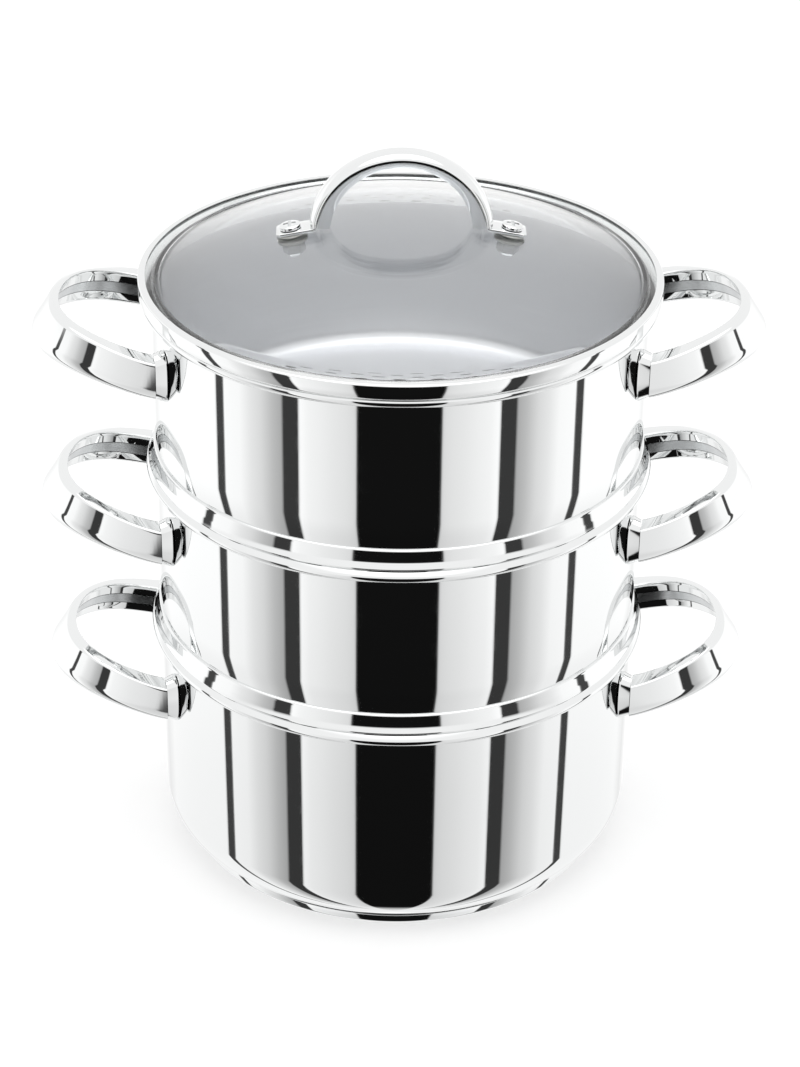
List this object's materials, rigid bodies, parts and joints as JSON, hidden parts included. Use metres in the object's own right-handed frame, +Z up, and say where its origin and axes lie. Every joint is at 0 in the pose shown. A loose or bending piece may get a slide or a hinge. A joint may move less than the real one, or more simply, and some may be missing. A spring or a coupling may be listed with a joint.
{
  "type": "three-tier steamer pot",
  "caption": "Stackable steamer pot: base pan, perforated steamer inserts with seating collars, paired loop side handles, and a domed glass lid with an arched handle.",
  "frame": {"origin": "middle of the base's underside, on the surface the pot stands on", "axes": "+Z up along the axis of the stack, side handles along X, -Y towards the viewer"},
  "size_m": [0.2956, 0.2098, 0.3062],
  "materials": {
    "polished_steel": "mirror-polished stainless steel",
    "satin_steel": "satin stainless steel",
    "core_aluminium": "machined",
    "lid_glass": "clear toughened glass",
    "clear_silicone": "milky clear silicone rubber"
  },
  "bodies": {
    "pan": {"pan_shell": "polished_steel", "base_core": "core_aluminium", "base_cap": "polished_steel", "pan_left_handle_shell": "polished_steel", "pan_left_handle_liner": "satin_steel", "pan_left_front_foot": "polished_steel", "pan_left_rear_foot": "polished_steel", "pan_right_handle_shell": "polished_steel", "pan_right_handle_liner": "satin_steel", "pan_right_front_foot": "polished_steel", "pan_right_rear_foot": "polished_steel"},
    "lower_steamer": {"lower_steamer_shell": "polished_steel", "lower_steamer_collar": "polished_steel", "lower_left_handle_shell": "polished_steel", "lower_left_handle_liner": "satin_steel", "lower_left_front_foot": "polished_steel", "lower_left_rear_foot": "polished_steel", "lower_right_handle_shell": "polished_steel", "lower_right_handle_liner": "satin_steel", "lower_right_front_foot": "polished_steel", "lower_right_rear_foot": "polished_steel"},
    "upper_steamer": {"upper_steamer_shell": "polished_steel", "upper_steamer_collar": "polished_steel", "upper_left_handle_shell": "polished_steel", "upper_left_handle_liner": "satin_steel", "upper_left_front_foot": "polished_steel", "upper_left_rear_foot": "polished_steel", "upper_right_handle_shell": "polished_steel", "upper_right_handle_liner": "satin_steel", "upper_right_front_foot": "polished_steel", "upper_right_rear_foot": "polished_steel"},
    "lid": {"lid_glass": "lid_glass", "lid_ring": "polished_steel", "lid_handle_cover": "polished_steel", "lid_handle_strap": "polished_steel", "lid_left_screw": "polished_steel", "lid_left_upper_seal": "clear_silicone", "lid_left_lower_seal": "clear_silicone", "lid_left_nut": "satin_steel", "lid_right_screw": "polished_steel", "lid_right_upper_seal": "clear_silicone", "lid_right_lower_seal": "clear_silicone", "lid_right_nut": "satin_steel"}
  },
  "joints": [
    {"name": "lower_steamer_lift", "type": "slide", "parent": "pan", "child": "lower_steamer", "axis": [0, 0, 1], "range_m": [0, 0.12]},
    {"name": "upper_steamer_lift", "type": "slide", "parent": "lower_steamer", "child": "upper_steamer", "axis": [0, 0, 1], "range_m": [0, 0.12]},
    {"name": "lid_lift", "type": "slide", "parent": "upper_steamer", "child": "lid", "axis": [0, 0, 1], "range_m": [0, 0.12]}
  ]
}
